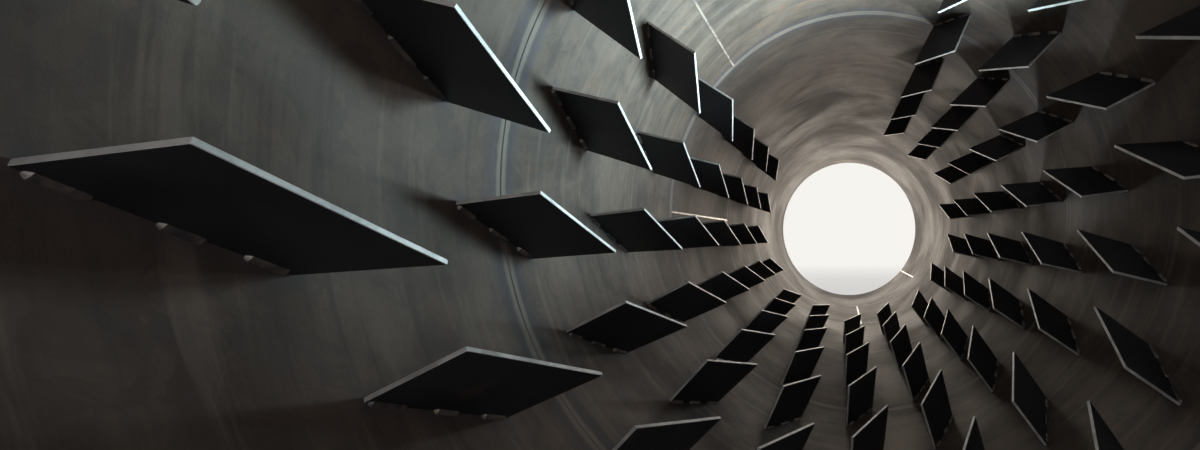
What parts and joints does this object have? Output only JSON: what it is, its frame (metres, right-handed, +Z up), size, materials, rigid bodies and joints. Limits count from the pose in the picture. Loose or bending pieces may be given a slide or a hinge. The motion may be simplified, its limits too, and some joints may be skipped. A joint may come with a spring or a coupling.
{
  "type": "rotary wood chip dryer drum",
  "caption": "Rotary drum for drying wood chips, open at both ends, with rows of skewed lifting flights inside, riding rings on coupled support rollers, and a girth gear round it.",
  "frame": {"origin": "middle of the plan outline on the ground, under the drum's axis", "axes": "+Z up, +Y along the drum from the inlet to the outlet, +X to the right seen from the inlet"},
  "size_m": [2.7356, 9.6, 3.1321],
  "materials": {
    "rolled_plate": "rolled plate with mill scale",
    "flight_plate": "dark mill scale with pale cut edges",
    "gear_steel": "cut teeth, dull",
    "plate_steel": "dark hot rolled plate",
    "ring_steel": "forged, rolled bright on the tread",
    "roller_steel": "turned",
    "housing_iron": "painted casting",
    "frame_paint": "dark primer"
  },
  "bodies": {
    "base": {"base_frame_inlet": "frame_paint", "bearing_housings_inlet_left": "housing_iron", "bearing_housings_inlet_right": "housing_iron", "base_frame_outlet": "frame_paint", "bearing_housings_outlet_left": "housing_iron", "bearing_housings_outlet_right": "housing_iron"},
    "drum": {"shell_course_1": "rolled_plate", "shell_course_2": "rolled_plate", "shell_course_3": "rolled_plate", "shell_course_4": "rolled_plate", "shell_course_5": "rolled_plate", "shell_course_6": "rolled_plate", "end_ring_inlet": "rolled_plate", "end_ring_outlet": "rolled_plate", "flight_row_01": "flight_plate", "flight_row_02": "flight_plate", "flight_row_03": "flight_plate", "flight_row_04": "flight_plate", "flight_row_05": "flight_plate", "flight_row_06": "flight_plate", "flight_row_07": "flight_plate", "flight_row_08": "flight_plate", "flight_row_09": "flight_plate", "flight_row_10": "flight_plate", "flight_row_11": "flight_plate", "flight_row_12": "flight_plate", "flight_row_13": "flight_plate", "flight_row_14": "flight_plate", "flight_row_15": "flight_plate", "riding_ring_inlet": "ring_steel", "ring_pads_inlet": "plate_steel", "riding_ring_outlet": "ring_steel", "ring_pads_outlet": "plate_steel", "girth_gear": "gear_steel", "gear_mounting_plates": "plate_steel", "gear_plate_stools": "plate_steel"},
    "support_roller_inlet_left": {"roller_inlet_left": "roller_steel", "roller_shaft_inlet_left": "roller_steel"},
    "support_roller_inlet_right": {"roller_inlet_right": "roller_steel", "roller_shaft_inlet_right": "roller_steel"},
    "support_roller_outlet_left": {"roller_outlet_left": "roller_steel", "roller_shaft_outlet_left": "roller_steel"},
    "support_roller_outlet_right": {"roller_outlet_right": "roller_steel", "roller_shaft_outlet_right": "roller_steel"}
  },
  "joints": [
    {"name": "drum_spin", "type": "hinge", "parent": "base", "child": "drum", "pos_m": [0, 0, 1.76407], "axis": [0, -1, 0], "continuous": true},
    {"name": "roller_spin_inlet_left", "type": "hinge", "parent": "base", "child": "support_roller_inlet_left", "pos_m": [-0.7327, -2.8, 0.495], "axis": [0, -1, 0], "continuous": true},
    {"name": "roller_spin_inlet_right", "type": "hinge", "parent": "base", "child": "support_roller_inlet_right", "pos_m": [0.7327, -2.8, 0.495], "axis": [0, -1, 0], "continuous": true},
    {"name": "roller_spin_outlet_left", "type": "hinge", "parent": "base", "child": "support_roller_outlet_left", "pos_m": [-0.7327, 2.8, 0.495], "axis": [0, -1, 0], "continuous": true},
    {"name": "roller_spin_outlet_right", "type": "hinge", "parent": "base", "child": "support_roller_outlet_right", "pos_m": [0.7327, 2.8, 0.495], "axis": [0, -1, 0], "continuous": true}
  ],
  "couplings": [
    {"joint": "roller_spin_inlet_left", "follows": "drum_spin", "ratio": -6.3255},
    {"joint": "roller_spin_inlet_right", "follows": "drum_spin", "ratio": -6.3255},
    {"joint": "roller_spin_outlet_left", "follows": "drum_spin", "ratio": -6.3255},
    {"joint": "roller_spin_outlet_right", "follows": "drum_spin", "ratio": -6.3255}
  ]
}
